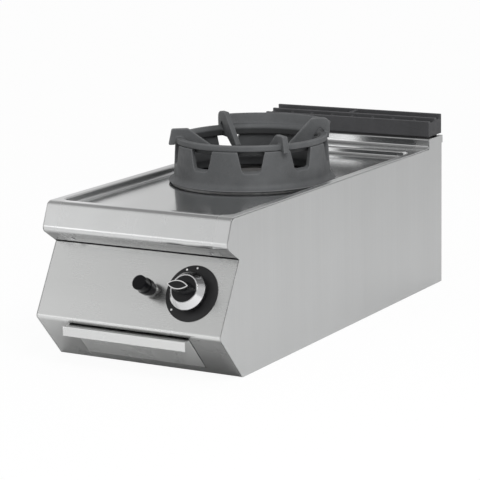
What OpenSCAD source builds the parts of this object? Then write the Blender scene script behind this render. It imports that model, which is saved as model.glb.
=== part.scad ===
// Countertop gas wok range: a bent stainless body with a pressed worktop, a cast wok ring and trivet
// over one round burner, a sloping control panel, a drip tray drawer and a cast flue grate.
// Origin: middle of the base. +X right, +Y to the rear, +Z up. Millimetres.

/* [Body] */
// Overall width over the side panels
body_w = 400; // [390:1:500]
// Depth from the nose of the control panel to the back of the rear panel
body_d = 930; // [900:1:1000]
// Height of the worktop's rim above the base
top_h = 298; // [285:1:330]
// Sheet thickness of the body panels
body_sheet = 1.5; // [1:0.1:2]
// Sheet thickness of the worktop
top_sheet = 2; // [1.5:0.1:2.5]
// Seam left between the side panels and the sheets between them
seam_gap = 0.5; // [0.3:0.1:1]
// How far the side panels' top edge lies below the worktop's rim
side_drop = 2; // [1:0.5:4]

/* [Front outline] */
// Distance behind the nose of the fascia's top edge
fascia_back = 51; // [40:1:60]
// Distance behind the nose of the fascia's lower edge
fascia_low_back = 30; // [20:1:38]
// Height of the fascia
fascia_rise = 52; // [40:1:60]
// Distance behind the nose of the recess over the control panel
recess_back = 72.5; // [65:0.5:85]
// Height of the chamfer from the fascia down to the recess
chamfer_rise = 28; // [20:1:34]
// Height of the nose above the base
nose_h = 88; // [80:1:100]
// Distance behind the nose of the lower face's foot
foot_back = 76; // [65:1:90]
// Bend radius of the worktop's front edges
front_bend_r = 11; // [5:0.5:12]
// Bend radius of the nose
nose_bend_r = 7; // [3:0.5:9]

/* [Worktop] */
// Width of the rim beside the well, measured from the body's side
well_side = 19; // [16:1:40]
// Width of the rim from the fascia's top edge to the well's front wall
well_rim_front = 20; // [19:1:50]
// Depth of the flat rim behind the well
well_rim_rear = 55; // [40:1:90]
// Depth of the pressed well
well_depth = 14; // [11:1:18]
// Corner radius of the well
well_corner = 19; // [14:1:45]
// Radius of the burner opening in the well's floor
burner_hole_r = 142; // [138:1:146]
// Height of the upstand at the rear
upstand_rise = 20; // [15:1:30]
// Distance of the upstand's face from the back of the body
upstand_back = 61; // [58:1:75]
// Bend radius of the cove at the upstand's foot
cove_r = 7; // [4:1:10]

/* [Wok ring] */
// Distance behind the nose of the burner's centre
ring_back = 468; // [440:1:500]
// Outer radius of the ring's flared lip
lip_r = 166; // [164:0.5:170]
// Height of the flare over the lip
flare_rise = 15; // [10:1:20]
// Outer radius of the ring's wall above the flare
ring_low_r = 155; // [152:0.5:157]
// Outer radius of the ring's wall at its top
ring_top_r = 151.5; // [150.5:0.5:152.5]
// Wall thickness of the ring
ring_wall = 11; // [8:0.5:12]
// Height of the ring
ring_h = 75.5; // [66:0.5:90]
// Number of equal places round the ring: one at the rear is solid, the others are windows
window_count = 9; // [6:1:10]
// Width of a window at the ring's top
window_top_w = 53; // [30:1:54]
// Width of a window at its foot
window_low_w = 34; // [24:1:40]
// Height of a window
window_h = 41; // [25:0.5:45]
// How much narrower a window is on each side at the ring's inner face
window_flare = 2.5; // [0.5:0.5:5]
// How much higher a window's sill is at the ring's inner face
window_sill_rise = 5.5; // [1:0.5:7]
// Height of the raised collar that the ring rests on
collar_h = 3; // [2:0.5:5]
// Inner radius of the raised collar
collar_r = 154; // [153:0.5:156]
// Width of the raised collar
collar_w = 7; // [5:0.5:8]

/* [Wok trivet] */
// Outer radius of the trivet's ring
trivet_r = 150; // [146:0.5:151]
// Height of the trivet's ring above the wok ring
trivet_h = 11.5; // [9:0.5:18]
// Depth of the locating spigot inside the wok ring
spigot_h = 9; // [4:0.5:12]
// Radial clearance of the spigot in the wok ring
spigot_gap = 0.7; // [0.4:0.1:1.5]
// Thickness of a prong
prong_t = 11; // [7:0.5:14]
// Height of the front prongs over the trivet's seat
prong_front_h = 28; // [22:0.5:40]
// Height of the rear prongs over the trivet's seat
prong_rear_h = 40.5; // [34:0.5:45]
// Distance of a prong's inner tip from the centre
prong_tip_r = 64; // [62:1:75]
// Depth of a prong's inner tip below the trivet's seat
prong_dip = 19; // [12:0.5:22]
// Reach of the front prongs from the centre
prong_reach = 165; // [160:0.5:170]
// Angle of each prong from the left-to-right line
prong_angle = 36; // [30:1:45]
// Height of the rear shield over the trivet's seat
shield_h = 32; // [25:0.5:38]
// Thickness of the rear shield
shield_t = 4; // [3:0.5:6]

/* [Controls] */
// Distance of the knob's axis from the body's right side
knob_side = 80; // [70:1:90]
// Distance of the knob's axis down the slope from the recess
knob_s = 72; // [68:1:76]
// Radius of the dial plate
dial_r = 53; // [50:0.5:56]
// Largest radius of the knob's metal ring
knob_ring_r = 36; // [33:0.5:38]
// Radius of the knob's flat face
knob_face_r = 26; // [24:0.5:27]
// Height of the knob's flat face above the panel
knob_face_h = 31; // [28:0.5:34]
// Height of the knob's grip above its flat face
grip_h = 25; // [18:0.5:28]
// Travel of the knob when it is pushed in
knob_push = 3.5; // [2:0.5:4]
// Radius of the valve's stem
stem_r = 5; // [4:0.25:6]
// Distance of the igniter button to the left of the knob's axis
button_left = 86; // [75:1:100]
// Distance of the igniter button down the slope from the recess
button_s = 73.5; // [68:0.5:78]
// Radius of the igniter button
button_r = 14; // [12:0.25:14.5]
// Height of the button's face above the panel
button_h = 47; // [42:0.5:50]
// Travel of the igniter button
button_push = 6; // [4:0.5:8]

/* [Drip tray] */
// Width of the drip tray's front
tray_front_w = 256; // [220:1:260]
// Depth of the drip tray's pan behind the foot of its front
tray_len = 540; // [400:1:600]
// Height of the pan's wall
tray_wall_h = 50; // [35:1:52]
// Height of the pan's floor above the base
tray_floor_h = 20; // [18:1:24]
// Height of the turned-down grip lip
grip_lip_h = 19; // [14:0.5:22]
// Reach of the grip lip in front of the nose
grip_lip_out = 10.5; // [8:0.5:14]
// Gap on the left of the tray's front and under it in its opening
tray_front_gap = 0.6; // [0.4:0.1:2]
// Gap on the right of the tray's front in its opening
tray_right_gap = 2; // [0.5:0.1:2.5]
// How far the grip strip runs past each side of the tray's front
grip_side = 4.5; // [0:0.5:8]

/* [Flue] */
// Gap from the body's side to the end of the flue grate
grate_side = 3; // [1:0.5:10]
// Depth of the flue grate
grate_d = 61; // [55:1:62]
// Height of the grate's front wall
grate_front_h = 33; // [26:0.5:38]
// Height of the grate's rear wall
grate_rear_h = 42; // [38:0.5:50]
// Wall thickness of the cast grate
grate_wall = 5; // [4:0.25:6]
// Height of the black frame in the gap under the grate
flue_frame_h = 3.2; // [2.5:0.1:5]
// Overhang of the grate behind the body
grate_over = 5; // [0:0.5:6]

/* [Burner and gas] */
// Outer radius of the burner's head
burner_r = 76; // [66:1:80]
// How far the burner head's top lies below the worktop's rim
burner_top_drop = 10; // [4:1:14]
// Radius of the burner's neck
neck_r = 33; // [30:1:36]
// Outer radius of the mixing tube
mixer_r = 19; // [16:0.5:21]
// Height of the burner bridge above the base
bridge_h = 152; // [140:1:156]
// Length of the mixing tube in front of the burner's neck
mixer_l = 200; // [180:1:220]
// Outer radius of the gas pipe
gas_pipe_r = 9; // [7:0.5:9.5]
// Outer radius of the inlet nipple's thread
inlet_r = 10.48; // [10:0.01:11]
// Length of the inlet nipple behind the body
inlet_l = 25; // [20:1:30]

/* [Fits] */
// Gap under a lift-off casting, and under the tray
seat_gap = 0.3; // [0.2:0.05:0.4]
// Radial clearance of a turning or sliding pin in its bore
pin_fit = 0.06; // [0.03:0.01:0.1]
// Radial clearance of a loose sleeve
sleeve_fit = 0.3; // [0.2:0.05:0.5]

/* [Hidden] */

$fn = 64;
arc_steps = 6;
cut = 1;

steel = [0.78, 0.79, 0.79];
dark_steel = [0.5, 0.51, 0.52];
cast_iron = [0.33, 0.34, 0.35];
black_plastic = [0.12, 0.12, 0.13];
brass = [0.78, 0.63, 0.32];

// Places along the depth are given behind the nose, and turned into the part's own frame here
function behind_nose(v) = v - body_d / 2;

side_x = body_w / 2;
inner_x = side_x - body_sheet;
sheet_x = inner_x - seam_gap;
side_top_z = top_h - side_drop;
fascia_low_z = top_h - fascia_rise;
recess_z = fascia_low_z - chamfer_rise;
upstand_y = body_d - upstand_back;
upstand_z = top_h + upstand_rise;
rear_return = 5;
side_end_y = body_d - rear_return;
well_front = fascia_back + well_rim_front;

// Slopes of the control panel and of the lower face
panel_tilt = atan(recess_back / (recess_z - nose_h));
foot_tilt = atan(foot_back / nose_h);
foot_len = norm([foot_back, nose_h]);

floor_z = top_h - well_depth;
ring_y = behind_nose(ring_back);
ring_z = floor_z + collar_h;
ring_top_z = ring_z + seat_gap + ring_h;
ring_base_z = ring_z + seat_gap;
seat_z = ring_top_z + seat_gap;

// Helpers for bent sheets: a path is a list of [point, normal] pairs, the normal to the left
function unit(v) = v / norm(v);
function left_of(v) = [-v[1], v[0]];
function turned(v, a) = [v[0] * cos(a) - v[1] * sin(a), v[0] * sin(a) + v[1] * cos(a)];
function flat_list(lists) = [for (l = lists) for (q = l) q];
function bend(a, b, c, r, steps = arc_steps) =
    let (u = unit(b - a), w = unit(c - b), turn = cross(u, w) > 0 ? 1 : -1)
    let (ang = acos(max(-1, min(1, u * w))), start = b - u * r * tan(ang / 2))
    let (centre = start + left_of(u) * turn * r)
    [for (k = [0:steps]) let (n = turned(left_of(u), turn * ang * k / steps)) [centre - turn * r * n, n]];
function bent_path(pts, radii) =
    let (last = len(pts) - 1)
    concat(
        [[pts[0], left_of(unit(pts[1] - pts[0]))]],
        flat_list([for (i = [1:last - 1]) bend(pts[i - 1], pts[i], pts[i + 1], radii[i - 1])]),
        [[pts[last], left_of(unit(pts[last] - pts[last - 1]))]]
    );
// Outline of a bent sheet whose outer face follows the points, with its thickness to the right
function bent_sheet(pts, radii, t) =
    let (p = bent_path(pts, radii), last = len(p) - 1)
    concat([for (q = p) q[0]], [for (i = [last:-1:0]) p[i][0] - p[i][1] * t]);
// Closed outline with rounded corners
function rounded(pts, radii) =
    let (n = len(pts))
    flat_list([
        for (i = [0:n - 1])
            radii[i] == 0 ? [pts[i]]
                : [for (q = bend(pts[(i + n - 1) % n], pts[i], pts[(i + 1) % n], radii[i])) q[0]]
    ]);

// A section drawn in depth and height, stretched across the width
module across(x0, x1) {
    translate([x0, 0, 0])
        rotate([90, 0, 90])
            linear_extrude(x1 - x0)
                children();
}

// A section drawn as radius and height, standing outwards at an angle round the burner
module radial_plate(angle, t) {
    translate([0, ring_y, 0])
        rotate([0, 0, angle])
            rotate([90, 0, 0])
                translate([0, 0, -t / 2])
                    linear_extrude(t)
                        children();
}

module box(x0, x1, y0, y1, z0, z1) {
    translate([x0, y0, z0])
        cube([x1 - x0, y1 - y0, z1 - z0]);
}

module tube(r_out, r_in, h) {
    difference() {
        cylinder(r = r_out, h = h);
        translate([0, 0, -cut])
            cylinder(r = r_in, h = h + 2 * cut);
    }
}

// Slab with round corners between two x and two y values
module round_slab(x0, x1, y0, y1, r, z0, h) {
    translate([0, 0, z0]) {
        box(x0 + r, x1 - r, y0, y1, 0, h);
        box(x0, x1, y0 + r, y1 - r, 0, h);
        for (x = [x0 + r, x1 - r])
            for (y = [y0 + r, y1 - r])
                translate([x, y, 0])
                    cylinder(r = r, h = h);
    }
}

module rod(a, b, r) {
    v = b - a;
    translate(a)
        rotate([0, acos(v[2] / norm(v)), atan2(v[1], v[0])])
            cylinder(r = r, h = norm(v));
}

// Pipe along straight runs, with a ball at each tight corner
module pipe(pts, r) {
    for (i = [0:len(pts) - 2])
        rod(pts[i], pts[i + 1], r);
    for (i = [1:len(pts) - 2])
        translate(pts[i])
            sphere(r = r);
}

knob_x = side_x - knob_side;
button_x = knob_x - button_left;

// Frame on the control panel's face: x across, y up the slope, z outwards
module on_panel(x, s) {
    translate([x, behind_nose(recess_back), recess_z])
        rotate([90 - panel_tilt, 0, 0])
            translate([0, -s, 0])
                children();
}

// Frame on the lower face: x across, y up the face, z outwards
module on_foot_face(s) {
    translate([0, behind_nose(0), nose_h])
        rotate([90 + foot_tilt, 0, 0])
            translate([0, -s, 0])
                children();
}

// Place in the part's frame of a point in the control panel's frame
function panel_point(x, s, z) = [
    x,
    behind_nose(recess_back) - s * sin(panel_tilt) - z * cos(panel_tilt),
    recess_z - s * cos(panel_tilt) + z * sin(panel_tilt)
];

// Body panels. Each side panel has a return at its foot and a welded angle behind the rear panel
rear_flange_y = body_d - body_sheet;
side_return_w = 16;
rear_flange_drop = 10;
rear_screw_in = 9;
rear_screw_end = 22;
rear_screw_count = 4;
rear_screw_r = 2;
rear_screw_l = 8;
rear_head_r = 3.6;
rear_head_h = 2.2;
screw_hole_gap = 0.1;
side_outline = [
    [fascia_back, side_top_z], [fascia_low_back, fascia_low_z], [recess_back, recess_z], [0, nose_h],
    [foot_back, 0], [side_end_y, 0], [side_end_y, upstand_z], [upstand_y, upstand_z],
    [upstand_y, side_top_z]
];
side_corner_r = 1.5;
step_corner_r = 4;

module side_panel(side) {
    return_x = inner_x - side_return_w;
    flange_top_z = side_top_z - rear_flange_drop;
    color(steel)
        mirror([side < 0 ? 1 : 0, 0, 0])
            difference() {
                translate([0, behind_nose(0), 0]) {
                    across(inner_x, side_x)
                        polygon(rounded(
                            side_outline,
                            [front_bend_r - 1, front_bend_r - 1, side_corner_r, nose_bend_r, side_corner_r,
                                side_corner_r, side_corner_r, side_corner_r, step_corner_r]
                        ));
                    box(return_x, side_x - body_sheet / 2, foot_back + foot_flange + 1, side_end_y - 2,
                        body_sheet, 2 * body_sheet);
                    box(inner_x - body_sheet, inner_x, side_end_y - side_return_w / 2, rear_flange_y,
                        2 * body_sheet, flange_top_z);
                    box(return_x, inner_x, rear_flange_y - body_sheet, rear_flange_y, 2 * body_sheet,
                        flange_top_z);
                }
                rear_screw_places()
                    rear_screw_hole();
            }
}

// Places of the rear panel's screws: z points out of the rear
module rear_screw_places() {
    pitch = (side_top_z - rear_flange_drop - 2 * rear_screw_end) / (rear_screw_count - 1);
    for (x = [-side_x + rear_screw_in, side_x - rear_screw_in])
        for (i = [0:rear_screw_count - 1])
            translate([x, behind_nose(body_d), rear_screw_end + i * pitch])
                rotate([-90, 0, 0])
                    children();
}

module rear_screw_hole() {
    translate([0, 0, -3 * body_sheet])
        cylinder(r = rear_screw_r + screw_hole_gap, h = 4 * body_sheet);
}

module side_panel_left() {
    side_panel(-1);
}

module side_panel_right() {
    side_panel(1);
}

// Worktop: fascia, rim and upstand bent from one sheet, with a pressed well in it
top_hem = 12;
top_flange = 21;
top_points = [
    [recess_back, recess_z + seam_gap + top_hem], [recess_back, recess_z + seam_gap],
    [fascia_low_back, fascia_low_z], [fascia_back, top_h], [upstand_y, top_h], [upstand_y, upstand_z],
    [upstand_y + top_flange, upstand_z]
];
top_radii = [top_sheet + 0.5, front_bend_r, front_bend_r, cove_r, top_sheet + 1.5];
well_x = side_x - well_side;
well_rear = upstand_y - well_rim_rear;
well_lip_r = 4;
well_foot_r = 6;
well_apron = 8;
well_overlap = 3;
well_section = bent_sheet(
    [[-well_apron, floor_z], [0, floor_z], [0, top_h], [well_apron, top_h]],
    [well_foot_r, well_lip_r], top_sheet
);

module well_pressing() {
    y_mid = behind_nose((well_front + well_rear) / 2);
    len_y = well_rear - well_front - 2 * well_corner;
    len_x = 2 * (well_x - well_corner);
    y0 = behind_nose(well_front);
    y1 = behind_nose(well_rear);
    runs = [[well_x, y_mid, 0, len_y], [0, y1, 90, len_x], [-well_x, y_mid, 180, len_y], [0, y0, 270, len_x]];
    for (run = runs)
        translate([run[0], run[1], 0])
            rotate([0, 0, run[2]])
                rotate([90, 0, 0])
                    linear_extrude(run[3], center = true)
                        polygon(well_section);
    corner_x = well_x - well_corner;
    corners = [
        [corner_x, y1 - well_corner, 0], [-corner_x, y1 - well_corner, 90],
        [-corner_x, y0 + well_corner, 180], [corner_x, y0 + well_corner, 270]
    ];
    for (c = corners)
        translate([c[0], c[1], 0])
            rotate([0, 0, c[2]])
                rotate_extrude(angle = 90)
                    translate([well_corner, 0])
                        polygon(well_section);
}

module worktop() {
    y0 = behind_nose(well_front);
    y1 = behind_nose(well_rear);
    open = well_apron - well_overlap;
    color(steel)
        difference() {
            union() {
                difference() {
                    translate([0, behind_nose(0), 0])
                        across(-sheet_x, sheet_x)
                            polygon(bent_sheet(top_points, top_radii, top_sheet));
                    round_slab(-well_x - open, well_x + open, y0 - open, y1 + open, well_corner + open,
                        floor_z, well_depth + cut);
                }
                well_pressing();
                round_slab(-well_x + open, well_x - open, y0 + open, y1 - open, well_corner - open,
                    floor_z - top_sheet, top_sheet);
            }
            translate([0, ring_y, floor_z - top_sheet - cut])
                cylinder(r = burner_hole_r, h = top_sheet + 2 * cut, $fn = 128);
            fascia_screw_holes();
        }
}

module ring_collar() {
    color(steel)
        translate([0, ring_y, floor_z])
            rotate_extrude($fn = 128)
                translate([collar_r, 0])
                    polygon(rounded(
                        [[0, 0], [collar_w, 0], [collar_w, collar_h], [0, collar_h]],
                        [0, 0, collar_h * 0.6, collar_h * 0.6]
                    ));
}

// Control panel: sloping face, nose and lower face with the drip tray's opening
opening_top_s = 9;
opening_low_s = foot_len - 16;
panel_flange = 14;
foot_flange = 25;
stem_hole_r = stem_r + 2;
igniter_hole_r = 10.5;

module panel_hole(r) {
    translate([0, 0, -2 * body_sheet])
        cylinder(r = r, h = 4 * body_sheet);
}

module control_panel() {
    color(steel)
        difference() {
            translate([0, behind_nose(0), 0])
                across(-sheet_x, sheet_x)
                    polygon(bent_sheet(
                        [[foot_back + foot_flange, 0], [foot_back, 0], [0, nose_h], [recess_back, recess_z],
                            [recess_back + panel_flange, recess_z]],
                        [body_sheet + 0.5, nose_bend_r, body_sheet + 0.5], body_sheet
                    ));
            on_foot_face(opening_low_s)
                translate([-tray_front_w / 2 - tray_front_gap, 0, -5 * body_sheet])
                    cube([tray_front_w + tray_front_gap + tray_right_gap, opening_low_s - opening_top_s,
                        10 * body_sheet]);
            on_panel(knob_x, knob_s)
                panel_hole(stem_hole_r);
            on_panel(button_x, button_s)
                panel_hole(igniter_hole_r);
            for (x = [-valve_screw_x, valve_screw_x])
                on_panel(knob_x + x, knob_s)
                    panel_hole(valve_screw_r + screw_hole_gap);
        }
}

// Rear panel with louvre slots, the inlet's hole and two joining tabs
slot_count = 6;
slot_l = 180;
slot_w = 6;
slot_z = 40;
slot_pitch = 18;
tab_w = 10;
tab_h = 16;
rear_fold_w = 14;
inlet_hole_gap = 0.5;

module rear_panel() {
    y_in = behind_nose(body_d - body_sheet);
    y_out = behind_nose(body_d);
    color(dark_steel)
        difference() {
            union() {
                box(-side_x, side_x, y_in, y_out, 0, upstand_z);
                for (x = [-side_x, side_x - body_sheet])
                    box(x, x + body_sheet, behind_nose(side_end_y), y_out, 0, upstand_z);
                box(-sheet_x, sheet_x, y_out - rear_fold_w, y_out, upstand_z - body_sheet, upstand_z);
                for (x = [-side_x, side_x - tab_w])
                    box(x, x + tab_w, y_out - body_sheet, y_out + grate_over, upstand_z - tab_h, upstand_z);
            }
            for (i = [0:slot_count - 1])
                box(-slot_l / 2, slot_l / 2, y_in - cut, y_out + cut, slot_z + slot_pitch * i,
                    slot_z + slot_pitch * i + slot_w);
            translate([pipe_x, y_in - cut, gas_pipe_h])
                rotate([-90, 0, 0])
                    cylinder(r = inlet_r + inlet_hole_gap, h = body_sheet + 2 * cut);
            rear_screw_places()
                rear_screw_hole();
        }
}

// Base panel under the side panels' returns, with vents behind the burner
base_z = body_sheet;
vent_count = 5;
vent_back = 720;
vent_l = 160;
vent_w = 8;
vent_pitch = 26;

module base_panel() {
    color(dark_steel)
        difference() {
            box(-sheet_x, sheet_x, behind_nose(foot_back + foot_flange + seam_gap),
                behind_nose(body_d - body_sheet - seam_gap), 0, base_z);
            for (i = [-(vent_count - 1) / 2:(vent_count - 1) / 2])
                box(-vent_l / 2, vent_l / 2, behind_nose(vent_back) + vent_pitch * i,
                    behind_nose(vent_back) + vent_pitch * i + vent_w, -cut, base_z + cut);
        }
}

// Rail across the front, behind the fascia, that the fascia screws bite into
rail_gap = 4.5;
rail_y = well_front - top_sheet - rail_gap;
rail_z = fascia_low_z - 10;
rail_front = fascia_low_back + 20;
rail_lap = 14;

module front_rail() {
    color(dark_steel)
        difference() {
            translate([0, behind_nose(0), 0]) {
                box(-inner_x, inner_x, rail_y - body_sheet, rail_y, rail_z, top_h - top_sheet);
                box(-inner_x, inner_x, rail_front, rail_y + rail_lap, rail_z, rail_z + body_sheet);
            }
            fascia_screw_holes();
        }
}

// Screws square to the chamfer
fascia_screw_x = 150;
fascia_screw_s = 33;
fascia_screw_r = 2;
fascia_head_r = 4.2;
fascia_head_h = 2.6;
fascia_dome_r = 6.4;
fascia_screw_l = 14;
fascia_slot_w = 0.8;
chamfer_angle = atan2(chamfer_rise - seam_gap, recess_back - fascia_low_back);

module on_chamfer(x) {
    translate([
        x,
        behind_nose(fascia_low_back + fascia_screw_s * cos(chamfer_angle)),
        fascia_low_z - fascia_screw_s * sin(chamfer_angle)
    ])
        rotate([180 - chamfer_angle, 0, 0])
            children();
}

module fascia_screw_holes() {
    for (x = [-fascia_screw_x, fascia_screw_x])
        on_chamfer(x)
            translate([0, 0, -fascia_screw_l - 6])
                cylinder(r = fascia_screw_r + screw_hole_gap, h = fascia_screw_l + 6 + cut);
}

module fascia_screws() {
    color(steel)
        for (x = [-fascia_screw_x, fascia_screw_x])
            on_chamfer(x) {
                translate([0, 0, -fascia_screw_l])
                    cylinder(r = fascia_screw_r, h = fascia_screw_l + cut);
                difference() {
                    intersection() {
                        cylinder(r = fascia_head_r, h = fascia_head_h);
                        translate([0, 0, fascia_head_h - fascia_dome_r])
                            sphere(r = fascia_dome_r);
                    }
                    for (a = [0, 90])
                        rotate([0, 0, a])
                            translate([-fascia_head_r / 2, -fascia_slot_w / 2, fascia_head_h - 1])
                                cube([fascia_head_r, fascia_slot_w, 2]);
                }
            }
}

// Burner bridge: a channel from side to side that carries the burner
bridge_w = 70;
bridge_drop = 22;

module burner_bridge() {
    color(dark_steel)
        translate([0, ring_y, 0])
            difference() {
                across(-inner_x, inner_x)
                    polygon(bent_sheet(
                        [[bridge_w / 2, bridge_h - bridge_drop], [bridge_w / 2, bridge_h],
                            [-bridge_w / 2, bridge_h], [-bridge_w / 2, bridge_h - bridge_drop]],
                        [3, 3], -body_sheet
                    ));
                translate([pipe_x, 0, gas_pipe_h])
                    rotate([90, 0, 0])
                        cylinder(r = gas_pipe_r + pipe_hole_gap, h = bridge_w + 2 * cut, center = true);
            }
}

// Heat shield between the burner and the controls
shield_back = 150;
shield_z = 96;
pipe_hole_gap = 1.5;

module heat_shield() {
    color(steel)
        translate([0, behind_nose(shield_back), 0])
            difference() {
                box(-inner_x, inner_x, 0, body_sheet, shield_z, floor_z - top_sheet);
                for (hole = [[0, mixer_z, feed_r], [pipe_x, gas_pipe_h, gas_pipe_r],
                    [pilot_foot[0], pilot_run_z, pilot_tube_r]])
                    translate([hole[0], -cut, hole[1]])
                        rotate([-90, 0, 0])
                            cylinder(r = hole[2] + pipe_hole_gap, h = body_sheet + 2 * cut);
            }
}

// Flue: duct from the burner space, black frame and the cast grate on it
duct_side = 18;
duct_z = 150;
duct_sheet = 1;
frame_lap = 8;
flue_x = side_x - duct_side;
duct_y0 = upstand_y + top_flange - 4;
duct_y1 = body_d - rear_fold_w - 2;

module flue_duct() {
    color(dark_steel)
        translate([0, behind_nose(0), 0])
            difference() {
                box(-flue_x, flue_x, duct_y0, duct_y1, duct_z, upstand_z - top_sheet);
                box(-flue_x + duct_sheet, flue_x - duct_sheet, duct_y0 + duct_sheet, duct_y1 - duct_sheet,
                    duct_z - cut, upstand_z);
            }
}

module flue_frame() {
    color("black")
        translate([0, behind_nose(0), upstand_z])
            difference() {
                box(-flue_x - frame_lap, flue_x + frame_lap, upstand_y + frame_lap, body_d - 3, 0,
                    flue_frame_h);
                box(-flue_x + duct_sheet, flue_x - duct_sheet, duct_y0 + 5, duct_y1 - duct_sheet, -cut,
                    flue_frame_h + cut);
            }
}

grate_y1 = body_d + grate_over;
grate_y0 = grate_y1 - grate_d;
grate_step = grate_d / 2;
grate_z = upstand_z + flue_frame_h + seat_gap;
grate_mid_h = (grate_front_h + grate_rear_h) / 2 - 0.5;
slat_dip = 4.5;
slat_fall = 1.5;
rib_count = 7;
rib_w = 4;
rib_low = 22;
lug_w = 9;
pad_w = 18;
pad_h = 8;
slat_h = 12;

// Side view of the grate's end walls and ribs: three risers with a dip behind the first two
function grate_profile(low) = [
    [grate_y0, low], [grate_y1, low], [grate_y1, grate_rear_h], [grate_y1 - grate_wall, grate_rear_h],
    [grate_y1 - grate_wall, grate_mid_h - slat_dip],
    [grate_y0 + grate_step + grate_wall + slat_dip, grate_mid_h - slat_dip - slat_fall],
    [grate_y0 + grate_step + grate_wall, grate_mid_h], [grate_y0 + grate_step, grate_mid_h],
    [grate_y0 + grate_step, grate_front_h - slat_dip + slat_fall],
    [grate_y0 + grate_wall + slat_dip, grate_front_h - slat_dip],
    [grate_y0 + grate_wall, grate_front_h], [grate_y0, grate_front_h]
];

module flue_grate() {
    end_x = side_x - grate_side;
    rib_pitch = 2 * end_x / (rib_count + 1);
    color(cast_iron)
        translate([0, behind_nose(0), grate_z]) {
            box(-end_x, end_x, grate_y0, grate_y0 + grate_wall, 0, grate_front_h);
            box(-end_x, end_x, grate_y0 + grate_step, grate_y0 + grate_step + grate_wall,
                rib_low - slat_h + 2, grate_mid_h);
            box(-end_x, end_x, grate_y1 - grate_wall, grate_y1, 0, grate_rear_h);
            for (x = [-end_x, end_x - grate_wall])
                across(x, x + grate_wall)
                    polygon(grate_profile(0));
            for (i = [1:rib_count])
                translate([i * rib_pitch - end_x, 0, 0])
                    across(-rib_w / 2, rib_w / 2)
                        polygon(grate_profile(rib_low));
            box(-lug_w, 0, grate_y0 + grate_step + grate_wall, grate_y1 - grate_wall, grate_front_h - 8,
                grate_mid_h + 2);
            for (x = [-end_x, end_x - pad_w])
                for (y = [grate_y0, grate_y1 - pad_w])
                    box(x, x + pad_w, y, y + pad_w, 0, pad_h);
        }
}

// Cast wok ring: conical wall, flared lip and windows open at the top, with a solid place at the rear
ring_turn = 99.5;
window_corner_r = 8;
window_lean = atan2((window_top_w - window_low_w) / 2, window_h);

function flare_r(k) = ring_low_r + (lip_r - ring_low_r) * (1 - sin(90 * k));

module wok_ring() {
    steps = 8;
    lip_edge = 3;
    lip_h = flare_rise - lip_edge;
    rise = [for (k = [0:steps]) [flare_r(k / steps), lip_edge + lip_h * (1 - cos(90 * k / steps))]];
    color(cast_iron)
        translate([0, ring_y, ring_base_z])
            difference() {
                rotate_extrude($fn = 128)
                    polygon(concat(
                        [[collar_r - 1, 0], [lip_r - 1, 0], [lip_r, 1]], rise,
                        [[ring_top_r, ring_h - 1], [ring_top_r - 1, ring_h], [ring_top_r - ring_wall, ring_h],
                            [ring_low_r - ring_wall, flare_rise + 3]]
                    ));
                for (i = [1:window_count - 1])
                    rotate([0, 0, ring_turn + i * 360 / window_count])
                        ring_window();
            }
}

// Window in a wall that faces +X: its sides and its sill slope towards each other inwards
module ring_window() {
    low_z = ring_h - window_h;
    half_w = window_low_w / 2;
    reach = 100;
    intersection() {
        translate([ring_top_r - ring_wall - 6, 0, 0])
            rotate([90, 0, 90])
                linear_extrude(ring_wall + 16)
                    polygon(rounded([
                        [-half_w, low_z], [half_w, low_z], [window_top_w / 2, ring_h + cut],
                        [-window_top_w / 2, ring_h + cut]
                    ], [window_corner_r, window_corner_r, 0, 0]));
        for (side = [0, 1])
            mirror([0, side, 0])
                translate([ring_top_r, half_w, low_z])
                    rotate([0, 0, atan2(window_flare, ring_wall)])
                        rotate([-window_lean, 0, 0])
                            translate([-reach / 2, -reach, -reach / 2])
                                cube(reach);
        translate([ring_top_r, 0, low_z])
            rotate([0, atan2(window_sill_rise, ring_wall), 0])
                translate([-reach / 2, -reach / 2, 0])
                    cube(reach);
    }
}

// Cast trivet: ring with a spigot, four prongs and a shield between the rear prongs
spigot_r = ring_top_r - ring_wall - spigot_gap;
spigot_wall = 5;
hook_gap = 1;
prong_hook_h = 4;
shield_lean = 9;

tip_edge = 7;
tip_low_l = 15;
arm_foot_in = 28;
front_top_in = 39.5;
rear_top_in = 29;
rear_prong_over = 6;

// Lower part of every prong: an arm that slopes down inside the ring
prong_arm = [
    [prong_tip_r, -prong_dip], [prong_tip_r + tip_edge, -prong_dip - tip_edge],
    [prong_tip_r + tip_edge + tip_low_l, -prong_dip - tip_edge], [spigot_r - arm_foot_in, -spigot_h],
    [spigot_r - 1, -spigot_h], [spigot_r - 1, 0]
];
prong_arm_radii = [3, 3, 4, 0, 0, 0];
front_prong = concat(prong_arm, [
    [ring_top_r + hook_gap, 0], [ring_top_r + hook_gap, -prong_hook_h], [prong_reach, -prong_hook_h],
    [prong_reach - 7, prong_front_h], [prong_reach - front_top_in, prong_front_h]
]);
rear_prong = concat(prong_arm, [
    [trivet_r + rear_prong_over - 2, 0], [trivet_r + rear_prong_over, trivet_h],
    [trivet_r + rear_prong_over, prong_rear_h], [trivet_r - rear_top_in, prong_rear_h]
]);

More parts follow.
